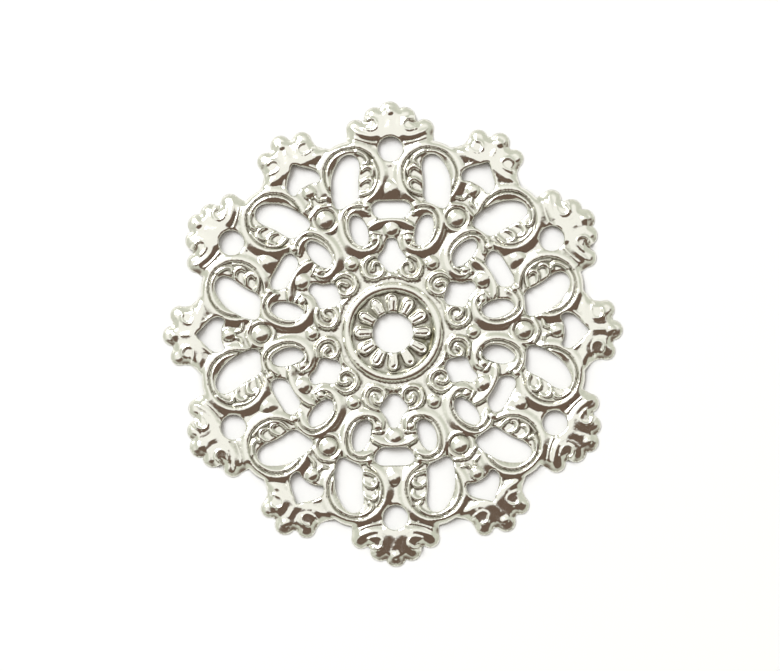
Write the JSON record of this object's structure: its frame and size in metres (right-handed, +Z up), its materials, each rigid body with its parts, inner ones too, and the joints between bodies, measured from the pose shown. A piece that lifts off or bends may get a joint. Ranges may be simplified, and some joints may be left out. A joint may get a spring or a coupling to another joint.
{
  "type": "filigree flower connector",
  "caption": "Round pierced and embossed metal flower with scalloped lobes, a petalled centre hole and a round hole in every other lobe for jump rings.",
  "frame": {"origin": "centre of the centre hole, on the surface that the flat back lies on", "axes": "+Z up out of the embossed front, +Y through a lobe with a round hole"},
  "size_m": [0.059, 0.06, 0.001],
  "materials": {
    "bright_plate": "bright warm silver plating, glossy and slightly soft from stamping"
  },
  "bodies": {
    "root": {"filigree_flower": "bright_plate"}
  },
  "joints": []
}
